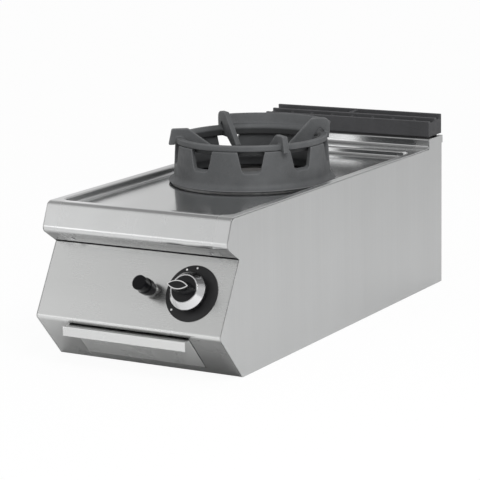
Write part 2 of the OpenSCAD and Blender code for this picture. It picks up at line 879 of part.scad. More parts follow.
module wok_trivet() {
    color(cast_iron)
        translate([0, 0, seat_z]) {
            translate([0, ring_y, 0])
                rotate([0, 0, prong_angle])
                    rotate_extrude($fn = 128)
                        polygon([
                            [spigot_r - spigot_wall, -spigot_h], [spigot_r, -spigot_h], [spigot_r, 0],
                            [trivet_r, 0], [trivet_r, trivet_h - 1], [trivet_r - 1, trivet_h],
                            [trivet_r - 11, trivet_h], [spigot_r - spigot_wall, trivet_h - 6]
                        ]);
            translate([0, ring_y, 0])
                rotate([0, 0, prong_angle])
                    rotate_extrude(angle = 180 - 2 * prong_angle, $fn = 128)
                        polygon([
                            [trivet_r - 8, 4], [trivet_r - 2, 4], [trivet_r + 1, trivet_h - 5],
                            [trivet_r + shield_lean, shield_h],
                            [trivet_r + shield_lean - shield_t, shield_h], [trivet_r - 4, trivet_h - 5]
                        ]);
            for (a = [180 + prong_angle, 360 - prong_angle])
                radial_plate(a, prong_t)
                    polygon(rounded(front_prong, concat(prong_arm_radii, [0, 0, 1.5, 3, 4])));
            for (a = [prong_angle, 180 - prong_angle])
                difference() {
                    radial_plate(a, prong_t)
                        polygon(rounded(rear_prong, concat(prong_arm_radii, [0, 2, 13, 6])));
                    radial_plate(a, prong_t + 2 * cut)
                        polygon([
                            [trivet_r - 28, 2], [trivet_r - 8, 4], [trivet_r - 5, trivet_h + 2],
                            [trivet_r - 14, trivet_h + 9.5]
                        ]);
                }
        }
}

// Burner bowl that hangs in the worktop's opening
bowl_sheet = 1.2;
bowl_low_r = 108;
bowl_depth = 54;
bowl_hole_r = neck_r + 4;
bowl_flange_w = 8;

module burner_bowl() {
    z_low = -bowl_depth;
    color(dark_steel)
        difference() {
            translate([0, ring_y, floor_z])
                rotate_extrude($fn = 128)
                    polygon([
                        [bowl_hole_r, z_low], [bowl_low_r, z_low], [burner_hole_r - 2, -2],
                        [burner_hole_r - 2, 0], [burner_hole_r + bowl_flange_w, 0],
                        [burner_hole_r + bowl_flange_w, bowl_sheet], [burner_hole_r - 3.5, bowl_sheet],
                        [burner_hole_r - 3.5, -2], [bowl_low_r - 0.8, z_low + bowl_sheet],
                        [bowl_hole_r, z_low + bowl_sheet]
                    ]);
            at_pilot(0)
                translate([0, 0, -bowl_sheet - cut])
                    cylinder(r = pilot_tube_r + sleeve_fit, h = bowl_sheet + 2 * cut);
        }
}

// Burner: body with its neck, head with ports, cap, mixing tube and air shutter
mixer_z = bridge_h + 30;
head_z = floor_z - bowl_depth + 8;
head_top_z = top_h - burner_top_drop;
head_h = head_top_z - head_z;
cap_r = burner_r - 16;
cap_h = 12;
port_count = 36;
port_w = 2.4;
mixer_bore_r = mixer_r - 4;
mixer_flange = 6;
mixer_stub = 8;
neck_wall = 6;
neck_foot_h = 6;

module burner_body() {
    color(cast_iron)
        translate([0, ring_y, 0])
            difference() {
                union() {
                    translate([0, 0, bridge_h])
                        cylinder(r = neck_r + mixer_stub - 1, h = neck_foot_h);
                    translate([0, 0, bridge_h])
                        cylinder(r = neck_r, h = head_z - bridge_h);
                    translate([0, 0, mixer_z])
                        rotate([90, 0, 0])
                            cylinder(r = mixer_r + mixer_flange, h = neck_r + mixer_stub);
                }
                translate([0, 0, bridge_h + neck_foot_h])
                    cylinder(r = neck_r - neck_wall, h = head_z - bridge_h);
                translate([0, 0, mixer_z])
                    rotate([90, 0, 0])
                        cylinder(r = mixer_bore_r, h = neck_r + mixer_stub + cut);
            }
}

module burner_head() {
    color(cast_iron)
        translate([0, ring_y, head_z])
            difference() {
                rotate_extrude($fn = 96)
                    polygon([
                        [neck_r - neck_wall, 0], [neck_r, 0], [burner_r - 12, 14], [burner_r, 20],
                        [burner_r, head_h - 4], [burner_r - 4, head_h], [cap_r - 8, head_h],
                        [cap_r - 8, head_h - 5], [burner_r - 10, head_h - 8], [burner_r - 10, 24],
                        [neck_r - neck_wall, 10]
                    ]);
                for (i = [0:port_count - 1])
                    rotate([0, 0, i * 360 / port_count])
                        translate([burner_r - 14, -port_w / 2, head_h - 22])
                            cube([20, port_w, 12]);
            }
}

module burner_cap() {
    color(cast_iron)
        translate([0, ring_y, head_top_z + seat_gap])
            rotate_extrude($fn = 96)
                polygon([
                    [0, 0], [cap_r, 0], [cap_r, 4], [cap_r - 6, cap_h - 3], [cap_r - 20, cap_h],
                    [0, cap_h]
                ]);
}

mixer_y = ring_y - neck_r - mixer_stub;

module mixing_tube() {
    color(cast_iron)
        translate([0, mixer_y, mixer_z])
            rotate([90, 0, 0])
                rotate_extrude()
                    polygon([
                        [mixer_bore_r, 0], [mixer_r + mixer_flange, 0],
                        [mixer_r + mixer_flange, mixer_flange], [mixer_r, mixer_flange],
                        [mixer_r, mixer_l], [mixer_r - 3, mixer_l], [mixer_bore_r - 4, mixer_l - 40],
                        [mixer_bore_r, 60]
                    ]);
}

shutter_lap = 12;
shutter_l = 24;
shutter_wall = 1.5;

module air_shutter() {
    color(steel)
        translate([0, mixer_y - mixer_l + shutter_lap, mixer_z])
            rotate([90, 0, 0])
                difference() {
                    tube(mixer_r + pin_fit + shutter_wall, mixer_r + pin_fit, shutter_l);
                    for (a = [45, 225])
                        rotate([0, 0, a])
                            translate([0, -6, shutter_lap + 3])
                                cube([mixer_r * 2, 12, 6]);
                }
}

// Injector at the mouth of the mixing tube, in a bracket off the heat shield
injector_y = mixer_y - mixer_l - shutter_l + shutter_lap - 1;
injector_r = 7;
injector_nut_r = 11;
injector_nut_l = 9;
bracket_t = 2;
bracket_w = 50;

module injector() {
    color(brass)
        translate([0, injector_y, mixer_z])
            rotate([-90, 0, 0]) {
                translate([0, 0, -bracket_t - injector_nut_l])
                    cylinder(r = injector_nut_r, h = injector_nut_l, $fn = 6);
                translate([0, 0, -bracket_t - cut])
                    cylinder(r = injector_r, h = bracket_t + shutter_l - shutter_lap);
                translate([0, 0, shutter_l - shutter_lap - 2])
                    cylinder(r = injector_r - 3, h = 8);
            }
}

module injector_bracket() {
    shield_y = behind_nose(shield_back + body_sheet);
    z0 = mixer_z - 22;
    z1 = mixer_z + 20;
    color(dark_steel)
        difference() {
            union() {
                box(-bracket_w / 2, bracket_w / 2, injector_y - bracket_t, injector_y, z0, z1);
                for (x = [-bracket_w / 2, bracket_w / 2 - bracket_t])
                    box(x, x + bracket_t, shield_y, injector_y, z0, z1);
                for (x = [-bracket_w / 2 - 12, bracket_w / 2 - bracket_t])
                    box(x, x + 12 + bracket_t, shield_y, shield_y + bracket_t, z0, z1);
            }
            translate([0, injector_y - bracket_t - cut, mixer_z])
                rotate([-90, 0, 0])
                    cylinder(r = injector_r + pin_fit, h = bracket_t + 2 * cut);
        }
}

// Pilot group on the burner bowl
pilot_r = burner_r + 16;
pilot_angle = 250;
pilot_z = floor_z - bowl_depth + bowl_sheet;

module at_pilot(offset) {
    translate([0, ring_y, pilot_z])
        rotate([0, 0, pilot_angle])
            translate([pilot_r, offset, 0])
                children();
}

module pilot_bracket() {
    color(steel)
        at_pilot(0) {
            translate([-8, -20, 0])
                cube([16, 40, 1.5]);
            translate([6.5, -20, 0])
                difference() {
                    cube([1.5, 40, 14]);
                    translate([-cut, 6, 6])
                        cube([4, 28, 4]);
                }
        }
}

module pilot_burner() {
    color(brass)
        at_pilot(0)
            translate([0, 0, 1.5]) {
                cylinder(r = 5, h = 26);
                translate([-9, -4, 22])
                    cube([12, 8, 6]);
            }
}

module thermocouple() {
    color(brass)
        at_pilot(13)
            translate([0, 0, 1.5]) {
                cylinder(r = 3, h = 20);
                cylinder(r = 1.8, h = 30);
            }
}

module ignition_electrode() {
    color("white")
        at_pilot(-13)
            translate([0, 0, 1.5]) {
                cylinder(r = 3.5, h = 20);
                cylinder(r = 1, h = 28);
            }
}

pilot_tube_r = 2;
pilot_run_z = pilot_z - 24;
pilot_foot = [pilot_r * cos(pilot_angle), ring_y + pilot_r * sin(pilot_angle), pilot_z];

module pilot_tube() {
    end = valve_point(-valve_w / 2, 15, valve_front - 10);
    turn_x = end[0] - 15;
    turn_y = end[1] + 41;
    color(brass)
        pipe([
            pilot_foot, [pilot_foot[0], pilot_foot[1], pilot_run_z],
            [pilot_foot[0], turn_y, pilot_run_z], [pilot_foot[0], turn_y, end[2]],
            [turn_x, turn_y, end[2]], [turn_x, end[1], end[2]], end
        ], pilot_tube_r);
}

// Gas valve behind the panel, with its stem, thrust pin and spring
valve_w = 44;
valve_l = 54;
valve_front = -12;
valve_back = -64;
stem_inner = -42;
pin_r = 3;
pin_l = 14;
valve_screw_x = 17;
valve_screw_r = 2;
valve_boss_r = 4;
valve_neck_r = 12;

function valve_point(x, up, z) = panel_point(knob_x + x, knob_s - up, z);

module gas_valve() {
    color(brass)
        on_panel(knob_x, knob_s)
            difference() {
                union() {
                    translate([-valve_w / 2, -valve_l / 2, valve_back])
                        cube([valve_w, valve_l, valve_front - valve_back]);
                    translate([0, 0, valve_front - cut])
                        cylinder(r = valve_neck_r, h = -valve_front - body_sheet + cut);
                    for (x = [-valve_screw_x, valve_screw_x])
                        translate([x, 0, valve_front - cut])
                            cylinder(r = valve_boss_r, h = -valve_front - body_sheet + cut);
                }
                translate([0, 0, stem_inner - knob_push - 2])
                    cylinder(r = stem_r + pin_fit, h = 60);
                translate([0, 0, stem_inner - knob_push - 2 - pin_l])
                    cylinder(r = pin_r + pin_fit, h = pin_l + cut);
                for (x = [-valve_screw_x, valve_screw_x])
                    translate([x, 0, valve_front - 4])
                        cylinder(r = valve_screw_r, h = 20);
            }
}

module valve_stem() {
    color(steel)
        on_panel(knob_x, knob_s)
            translate([0, 0, stem_inner])
                cylinder(r = stem_r, h = stem_outer - stem_inner);
}

module thrust_pin() {
    color(steel)
        on_panel(knob_x, knob_s)
            translate([0, 0, stem_inner - pin_l + knob_push - 1])
                cylinder(r = pin_r, h = pin_l - knob_push + 1 - seat_gap);
}

module valve_screws() {
    color(steel)
        for (x = [-valve_screw_x, valve_screw_x])
            on_panel(knob_x + x, knob_s)
                translate([0, 0, valve_front - 3]) {
                    cylinder(r = valve_screw_r, h = 3 - valve_front);
                }
}

spring_r = 12;
spring_wire = 1;
spring_turns = 5;

// Round spring swept along a helix
module coil_spring(r, wire, length, turns) {
    sides = 6;
    steps = 12;
    count = turns * steps;
    rings = [
        for (i = [0:count])
            let (a = 360 * i / steps, z = wire + (length - 2 * wire) * i / count)
            [for (k = [0:sides - 1])
                let (b = 360 * k / sides, q = r + wire * cos(b))
                [q * cos(a), q * sin(a), z + wire * sin(b)]]
    ];
    last = count * sides;
    polyhedron(
        points = flat_list(rings),
        faces = concat(
            [[for (k = [0:sides - 1]) k]],
            [for (i = [0:count - 1]) for (k = [0:sides - 1])
                [i * sides + k, (i + 1) * sides + k, (i + 1) * sides + (k + 1) % sides]],
            [for (i = [0:count - 1]) for (k = [0:sides - 1])
                [i * sides + k, (i + 1) * sides + (k + 1) % sides, i * sides + (k + 1) % sides]],
            [[for (k = [sides - 1:-1:0]) last + k]]
        )
    );
}

module knob_spring() {
    spring_l = knob_pocket - dial_t - 2 * seat_gap - knob_push;
    color(steel)
        on_panel(knob_x, knob_s)
            translate([0, 0, dial_t + seat_gap])
                coil_spring(spring_r, spring_wire, spring_l, spring_turns);
}

// Gas line from the rear inlet along the right side to the valve and on to the injector
pipe_x = side_x - 35;
pipe_end = valve_point(valve_w / 2, 0, (valve_front + valve_back) / 2);
gas_pipe_h = pipe_end[2];
inlet_inner_l = 14;
inlet_nut_l = 6;

module gas_manifold() {
    color(brass)
        pipe([
            [pipe_x, behind_nose(body_d - inlet_inner_l), gas_pipe_h],
            [pipe_x, pipe_end[1], gas_pipe_h], pipe_end
        ], gas_pipe_r);
}

feed_r = 6;

module supply_pipe() {
    start = valve_point(-valve_w / 2, 0, (valve_front + valve_back) / 2);
    turn_x = start[0] - 26;
    turn_y = start[1] + 49;
    end_y = injector_y - bracket_t - injector_nut_l;
    color(brass)
        pipe([
            start, [turn_x, start[1], start[2]], [turn_x, turn_y, start[2]], [turn_x, turn_y, mixer_z],
            [0, turn_y, mixer_z], [0, end_y, mixer_z]
        ], feed_r);
}

module gas_inlet() {
    inside = inlet_inner_l - body_sheet;
    color(brass)
        translate([pipe_x, behind_nose(body_d - inlet_inner_l), gas_pipe_h])
            rotate([-90, 0, 0])
                difference() {
                    union() {
                        cylinder(r = inlet_r - 0.3, h = inlet_inner_l + inlet_l - 2);
                        translate([0, 0, inlet_inner_l + inlet_nut_l])
                            cylinder(r = inlet_r, h = inlet_l - inlet_nut_l - 1);
                        cylinder(r = inlet_r - 1, h = inlet_inner_l + inlet_l);
                        translate([0, 0, inside - inlet_nut_l])
                            cylinder(r = inlet_r + 5, h = inlet_nut_l, $fn = 6);
                    }
                    translate([0, 0, 4])
                        cylinder(r = inlet_r - 3, h = inlet_inner_l + inlet_l);
                }
}

module inlet_nut() {
    color(brass)
        translate([pipe_x, behind_nose(body_d), gas_pipe_h])
            rotate([-90, 0, 0])
                difference() {
                    cylinder(r = inlet_r + 5, h = inlet_nut_l, $fn = 6);
                    translate([0, 0, -cut])
                        cylinder(r = inlet_r + pin_fit, h = inlet_nut_l + 2 * cut);
                }
}

// Dial plate, its printed dots and the knob
dial_t = 2;
dot_r = 2;
dot_ring_r = 47.5;
dot_angles = [0, 26, 136];

module dial_plate() {
    color(black_plastic)
        on_panel(knob_x, knob_s)
            difference() {
                union() {
                    cylinder(r = dial_r, h = dial_t - 0.6, $fn = 96);
                    cylinder(r = dial_r - 0.8, h = dial_t, $fn = 96);
                }
                translate([0, 0, -cut])
                    cylinder(r = stem_hole_r, h = dial_t + 2 * cut);
            }
}

module dial_marks() {
    color("white")
        on_panel(knob_x, knob_s)
            for (a = dot_angles)
                rotate([0, 0, a])
                    translate([0, dot_ring_r, dial_t])
                        cylinder(r = dot_r, h = 0.25);
}

knob_skirt_z = dial_t + knob_push + 1;
knob_ring_z = 17;
knob_pocket = knob_face_h - 8;
stem_outer = knob_face_h - 4;
hub_r = stem_r + 4;
grip_l = 44;
grip_w = 17;

// Lozenge with two long arcs: the part that two equal discs share
module lozenge(l, w, h) {
    r = (l * l + w * w) / (4 * w);
    intersection() {
        translate([0, w / 2 - r, 0])
            cylinder(r = r, h = h, $fn = 96);
        translate([0, r - w / 2, 0])
            cylinder(r = r, h = h, $fn = 96);
    }
}

module knob() {
    color(black_plastic)
        on_panel(knob_x, knob_s)
            difference() {
                union() {
                    translate([0, 0, knob_skirt_z])
                        cylinder(r = knob_ring_r - 1.5, h = knob_ring_z - knob_skirt_z);
                    translate([0, 0, knob_ring_z - 3])
                        cylinder(r = knob_ring_r + 0.8, h = 3);
                    translate([0, 0, knob_ring_z - cut])
                        cylinder(r = knob_face_r - 1, h = knob_face_h - knob_ring_z + cut);
                    hull() {
                        translate([0, 0, knob_face_h - cut])
                            lozenge(grip_l + 6, grip_w + 9, 1);
                        translate([0, 0, knob_face_h + grip_h * 0.45])
                            lozenge(grip_l, grip_w, 1);
                    }
                    translate([0, 0, knob_face_h])
                        lozenge(grip_l, grip_w, grip_h);
                }
                translate([0, 0, knob_skirt_z - cut])
                    tube(knob_ring_r - 5, hub_r, 6 + cut);
                translate([0, 0, knob_skirt_z - cut])
                    tube(spring_r + 3, hub_r, knob_pocket - knob_skirt_z + cut);
                translate([0, 0, knob_skirt_z - cut])
                    cylinder(r = stem_r + pin_fit, h = stem_outer - knob_skirt_z + cut + pin_fit);
            }
}

module knob_ring() {
    color(steel)
        on_panel(knob_x, knob_s)
            translate([0, 0, knob_ring_z])
                rotate_extrude($fn = 96)
                    polygon([
                        [knob_face_r - 1, 0], [knob_ring_r, 0], [knob_ring_r, 1.5],
                        [knob_face_r + 1, knob_face_h - knob_ring_z],
                        [knob_face_r - 1, knob_face_h - knob_ring_z]
                    ]);
}

// Push igniter: body behind the panel, nut, bezel, button and spring
bezel_r = button_r + 1.4;
bezel_z = 14;
bezel_h = 12;
bezel_floor = bezel_z + 1.5;
bezel_neck_r = 12.4;
igniter_nut_h = 3.5;
igniter_thread_r = 9.8;
shank_l = body_sheet + 6;
plunger_r = 5;
plunger_l = 4;
button_foot = bezel_floor + button_push + 1;
button_pocket = 8;
button_edge = 1.2;

module igniter_nut() {
    color(steel)
        on_panel(button_x, button_s)
            tube(bezel_neck_r, igniter_thread_r + pin_fit, igniter_nut_h);
}

module igniter_bezel() {
    color(black_plastic)
        on_panel(button_x, button_s)
            difference() {
                union() {
                    translate([0, 0, igniter_nut_h])
                        cylinder(r = bezel_neck_r, h = bezel_z - igniter_nut_h);
                    translate([0, 0, bezel_z])
                        cylinder(r = bezel_r, h = bezel_h);
                    translate([0, 0, -shank_l])
                        cylinder(r = igniter_thread_r, h = bezel_z + shank_l);
                }
                translate([0, 0, bezel_floor])
                    cylinder(r = button_r + sleeve_fit, h = bezel_h);
                translate([0, 0, -shank_l - cut])
                    cylinder(r = plunger_r + pin_fit, h = bezel_z + bezel_h + shank_l);
            }
}

module igniter_button() {
    color(black_plastic)
        on_panel(button_x, button_s)
            difference() {
                union() {
                    translate([0, 0, button_foot])
                        cylinder(r = button_r, h = button_h - button_foot - button_edge);
                    translate([0, 0, button_foot])
                        cylinder(r = button_r - button_edge, h = button_h - button_foot);
                    translate([0, 0, -shank_l - plunger_l])
                        cylinder(r = plunger_r, h = button_foot + shank_l + plunger_l + cut);
                }
                translate([0, 0, button_foot - cut])
                    tube(button_r - 3, plunger_r, button_pocket + cut);
            }
}

module igniter_body() {
    length = 52;
    color("white")
        on_panel(button_x, button_s)
            difference() {
                translate([0, 0, -shank_l - length])
                    cylinder(r = igniter_thread_r, h = length);
                translate([0, 0, -shank_l - plunger_l - button_push - 1])
                    cylinder(r = plunger_r + sleeve_fit, h = length);
            }
}

module igniter_spring() {
    wire = 0.7;
    length = button_pocket + 1 - 2 * seat_gap;
    color(steel)
        on_panel(button_x, button_s)
            translate([0, 0, bezel_floor + seat_gap])
                coil_spring((plunger_r + button_r - 3) / 2, wire, length, 4);
}

// Drip tray: sloping front with a turned-down grip lip, and the pan behind it
tray_bottom_s = opening_low_s - tray_front_gap;
grip_z = nose_h - 9 - body_sheet;

function face_y(z) = (nose_h - z) * foot_back / nose_h;

module tray_front() {
    z_low = nose_h - tray_bottom_s * cos(foot_tilt);
    strip_y = face_y(grip_z + body_sheet) - 1.5;
    lip_y = body_sheet - grip_lip_out;
    half_w = tray_front_w / 2;
    color(steel)
        translate([0, behind_nose(0), 0]) {
            across(-half_w, half_w)
                polygon(bent_sheet(
                    [[face_y(z_low), z_low], [face_y(grip_z), grip_z], [strip_y - 1, grip_z]], [2], body_sheet
                ));
            across(-half_w - grip_side, half_w + grip_side)
                polygon(bent_sheet(
                    [[strip_y, grip_z], [lip_y, grip_z], [lip_y, grip_z + body_sheet - grip_lip_h]],
                    [2], body_sheet
                ));
        }
}

module tray_pan() {
    wall = 1;
    z0 = tray_floor_h;
    z1 = tray_floor_h + tray_wall_h;
    skin = body_sheet / cos(foot_tilt);
    y_end = foot_back + tray_len;
    outer = [[face_y(z0) + skin, z0], [y_end, z0], [y_end, z1], [face_y(z1) + skin, z1]];
    inner = [[face_y(z0 + wall) + skin - cut, z0 + wall], [y_end - wall, z0 + wall], [y_end - wall, z1 + cut],
        [face_y(z1 + cut) + skin - cut, z1 + cut]];
    color(steel)
        translate([0, behind_nose(0), 0])
            difference() {
                across(-tray_x, tray_x)
                    polygon(outer);
                across(-tray_x + wall, tray_x - wall)
                    polygon(inner);
            }
}

tray_x = tray_front_w / 2 - 3;
runner_l = 540;
runner_gap = 0.8;
runner_w = 14;
runner_over = 24;
runner_back = 3;

module tray_runner(side) {
    y0 = behind_nose(foot_back + foot_flange + runner_back);
    x0 = tray_x + runner_gap;
    color(dark_steel)
        mirror([side < 0 ? 1 : 0, 0, 0]) {
            box(x0, x0 + body_sheet, y0, y0 + runner_l, base_z, tray_floor_h + runner_over);
            box(x0, x0 + runner_w, y0, y0 + runner_l, base_z, base_z + body_sheet);
            box(x0 - runner_w, x0 + body_sheet / 2, y0, y0 + runner_l, tray_floor_h - seat_gap - body_sheet,
                tray_floor_h - seat_gap);
        }
}

module tray_runner_left() {
    tray_runner(-1);
}

module tray_runner_right() {
    tray_runner(1);
}

// Screws that hold the rear panel to the side panels' flanges
module rear_screws() {
    color(steel)
        rear_screw_places() {
            cylinder(r = rear_head_r, h = rear_head_h);
            translate([0, 0, -rear_screw_l])
                cylinder(r = rear_screw_r, h = rear_screw_l + rear_head_h / 2);
        }
}

side_panel_left();
side_panel_right();
worktop();
ring_collar();
control_panel();
rear_panel();
base_panel();
front_rail();
burner_bridge();
heat_shield();
flue_duct();
flue_frame();
flue_grate();
wok_ring();
wok_trivet();
burner_bowl();
burner_body();
burner_head();
burner_cap();
mixing_tube();
air_shutter();
injector();
injector_bracket();
pilot_bracket();
pilot_burner();
thermocouple();
ignition_electrode();
pilot_tube();
gas_valve();
valve_stem();
thrust_pin();
knob_spring();
gas_manifold();
supply_pipe();
gas_inlet();
inlet_nut();
dial_plate();
dial_marks();
knob();
knob_ring();
igniter_button();
igniter_bezel();
igniter_nut();
igniter_body();
igniter_spring();
tray_front();
tray_pan();
tray_runner_left();
tray_runner_right();
fascia_screws();
rear_screws();
valve_screws();
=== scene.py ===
import math

import bpy
from mathutils import Matrix, Vector

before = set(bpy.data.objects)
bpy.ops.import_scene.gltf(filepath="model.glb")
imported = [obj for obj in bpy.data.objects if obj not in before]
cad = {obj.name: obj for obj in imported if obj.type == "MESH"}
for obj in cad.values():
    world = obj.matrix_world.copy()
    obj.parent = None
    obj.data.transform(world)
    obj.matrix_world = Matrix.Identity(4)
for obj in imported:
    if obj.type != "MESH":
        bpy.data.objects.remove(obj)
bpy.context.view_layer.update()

scene = bpy.context.scene

# Camera: fitted to the photograph's edges, in metres, degrees and pixels
CAMERA_AT = Vector((1.99223, -3.43522, 0.99632))
AZIMUTH, ELEVATION, ROLL = math.radians(30.476), math.radians(11.871), math.radians(-1.142)
FOCAL_PX = 2028.85
IMAGE_PX = 480
SENSOR_MM = 36.0

# Sizes and places that the scene shares with the construction, in metres
PANEL_TILT = math.atan(72.5 / 130.0)
KNOB_AT = Vector((0.120, -0.427569, 0.155118))
GRIP_LENGTH, GRIP_WIDTH, GRIP_TOP = 0.044, 0.017, 0.056
BURNER_Y = 0.003

# Spans over which painted shade and wear come in, in metres along the axis in each name
BODY_X = (-0.2, 0.2)
TRAY_X = (-0.14, 0.14)
LEFT_WALL_X = (-0.170, -0.163)
RIGHT_WALL_X = (0.163, 0.170)
FASCIA_Y = (-0.416, -0.404)
TRAY_LIP_Y = (-0.466, -0.462)
FOOT_Z = (0.081, 0.0865)
CHAMFER_Z = (0.239, 0.247)
RING_SHADE_Z = (0.302, 0.330)
SPIGOT_Z = (0.3645, 0.3675)

# The same by the distance from the burner's upright axis
SPIGOT_INNER_R = (0.118, 0.126)
SPIGOT_OUTER_R = (0.1405, 0.1505)
RING_WALL_R = (0.1425, 0.1505)
OPENING_R = (0.1525, 0.1535)
COLLAR_R = (0.1545, 0.1560)

# What is left of a colour under painted shade, and the roughness that wiping adds
UNSHADED = (1.0, 1.0, 1.0)
RING_SHADE, COLLAR_SHADE, OPENING_SHADE = 0.38, 0.10, 0.06
RING_TOP_UNSHADED = 0.85
CHAMFER_SHADE = [(0.0, 0.38), (1.0, 0.22)]
FOOT_SHADE = [(0.0, 0.74), (1.0, 0.42)]
TRAY_SHADE = [(0.0, 1.0), (0.6, 0.98), (1.0, 0.86)]
FASCIA_WEAR, WALL_WEAR = 0.12, 0.15

# Radii of the edges in metres, and the painted highlight along the edge of the knob grip's end
SHEET_EDGE, METAL_EDGE, CAST_EDGE = 0.0006, 0.0005, 0.0014
PRINT_EDGE, MOULDED_EDGE, GRIP_EDGE = 0.0001, 0.0006, 0.0009
HIGHLIGHT_GREY = (0.55, 0.55, 0.55)
HIGHLIGHT_WIDTH, HIGHLIGHT_DEPTH = 0.0017, 0.0008

# Colours that two materials share, one of them steel darkened as painted shade, and the iron
# where its edges are worn
RING_IRON = (0.088, 0.091, 0.094)
SHADE_DARKENED_STEEL = (0.20, 0.20, 0.20)
WORN_IRON = (0.30, 0.30, 0.31)

# Where most values of a noise lie, and the samples that round an edge in its shading
NOISE_MIDDLE = (0.3, 0.7)
EDGE_SAMPLES = 6

# Castings: sizes in metres, and smoothing passes
WELD = 0.00001
RING_VOXEL, RING_PASSES = 0.0014, 6
GRATE_VOXEL, GRATE_PASSES = 0.0011, 4

# Brightness of the room by the height of a direction, and by its side for what metal shows
ROOM = 0.88
ROOM_BY_HEIGHT = [(-1.0, 0.55), (0.0, 0.85), (0.2, 1.0), (0.44, 0.95), (1.0, 0.70)]
SHOWN_BY_HEIGHT = [(-1.0, 0.40), (-0.1, 0.95), (0.3, 1.0), (0.46, 0.98), (0.60, 0.84),
                   (0.75, 0.42), (0.87, 0.37), (0.95, 0.62)]
SHOWN_BY_SIDE = [(-1.0, 1.0), (-0.568, 1.0), (-0.545, 0.68), (-0.47, 0.63), (1.0, 0.62)]

# Backdrop, and floor: half its width and its drop in metres, its grey, and the share of it
# that the camera sees as white
WHITE = (1.0, 1.0, 1.0)
FLOOR_HALF, FLOOR_DROP = 12.0, 0.0005
FLOOR_GREY = (0.92, 0.92, 0.92)
FLOOR_WHITE = 0.94


def add_camera():
    back = Vector((math.sin(AZIMUTH) * math.cos(ELEVATION),
                   -math.cos(AZIMUTH) * math.cos(ELEVATION),
                   math.sin(ELEVATION)))
    right = Vector((math.cos(AZIMUTH), math.sin(AZIMUTH), 0.0))
    up = back.cross(right)
    c, s = math.cos(ROLL), math.sin(ROLL)
    x_axis = c * right + s * up
    y_axis = -s * right + c * up
    turn = Matrix((x_axis, y_axis, back)).transposed().to_4x4()
    data = bpy.data.cameras.new("photo_camera")
    data.sensor_width = SENSOR_MM
    data.lens = FOCAL_PX / IMAGE_PX * SENSOR_MM
    data.clip_start = 0.01
    data.clip_end = 100
    cam = bpy.data.objects.new("photo_camera", data)
    cam.matrix_world = Matrix.Translation(CAMERA_AT) @ turn
    scene.collection.objects.link(cam)
    scene.camera = cam


class Nodes:
    """A node tree with short calls for the nodes used here."""

    def __init__(self, tree):
        self.tree = tree

    def add(self, kind, **values):
        node = self.tree.nodes.new(kind)
        for key, value in values.items():
            setattr(node, key, value)
        return node

    def feed(self, socket, value):
        """Link a socket from another, or set its value. Three numbers also do for a colour."""
        if isinstance(value, bpy.types.NodeSocket):
            self.tree.links.new(value, socket)
        elif isinstance(value, tuple) and len(socket.default_value) == 4:
            socket.default_value = (*value, 1.0)
        else:
            socket.default_value = value

    def calc(self, operation, *values):
        node = self.add("ShaderNodeMath", operation=operation)
        for socket, value in zip(node.inputs, values):
            self.feed(socket, value)
        return node.outputs[0]

    def length(self, vector):
        node = self.add("ShaderNodeVectorMath", operation="LENGTH")
        self.feed(node.inputs[0], vector)
        return node.outputs["Value"]

    def split(self, vector):
        """The outputs X, Y and Z of a vector."""
        node = self.add("ShaderNodeSeparateXYZ")
        self.feed(node.inputs[0], vector)
        return node.outputs

    def place(self, kind="POINT", **sockets):
        """Place in the model's frame, through a Mapping node with these values."""
        node = self.add("ShaderNodeMapping", vector_type=kind)
        self.feed(node.inputs["Vector"], self.add("ShaderNodeTexCoord").outputs["Object"])
        for name, value in sockets.items():
            self.feed(node.inputs[name], value)
        return node.outputs["Vector"]

    def noise(self, scale, detail, rough, vector=None):
        node = self.add("ShaderNodeTexNoise")
        self.feed(node.inputs["Scale"], scale)
        self.feed(node.inputs["Detail"], detail)
        self.feed(node.inputs["Roughness"], rough)
        self.feed(node.inputs["Vector"], vector if vector is not None else self.place())
        return node.outputs["Fac"]

    def ramp(self, value, stops):
        """Colour ramp over pairs of a position and a colour or a grey."""
        node = self.add("ShaderNodeValToRGB")
        elements = node.color_ramp.elements
        while len(elements) < len(stops):
            elements.new(0.5)
        for element, (position, colour) in zip(elements, stops):
            element.position = position
            element.color = (*(colour if isinstance(colour, tuple) else (colour,) * 3), 1.0)
        self.feed(node.inputs["Fac"], value)
        return node.outputs["Color"]

    def rescale(self, value, span, first=0.0, last=1.0):
        """A value as first where its span begins and as last where it ends."""
        node = self.add("ShaderNodeMapRange")
        ends = zip(("From Min", "From Max", "To Min", "To Max"), (*span, first, last))
        for name, number in ends:
            self.feed(node.inputs[name], number)
        self.feed(node.inputs["Value"], value)
        return node.outputs["Result"]

    def spread(self, noise, low, high):
        """The middle of a noise's range, stretched from low to high."""
        return self.rescale(noise, NOISE_MIDDLE, low, high)

    def tones(self, noise, low, high):
        """The same for two colours or greys."""
        return self.ramp(noise, list(zip(NOISE_MIDDLE, (low, high))))

    def mix(self, factor, a, b, blend="MIX"):
        node = self.add("ShaderNodeMix", data_type="RGBA", blend_type=blend)
        for index, value in ((0, factor), (6, a), (7, b)):
            self.feed(node.inputs[index], value)
        return node.outputs[2]

    def times(self, a, b):
        return self.mix(1.0, a, b, "MULTIPLY")

    def blend_shaders(self, factor, a, b):
        node = self.add("ShaderNodeMixShader")
        for socket, value in zip(node.inputs, (factor, a, b)):
            self.feed(socket, value)
        return node.outputs[0]


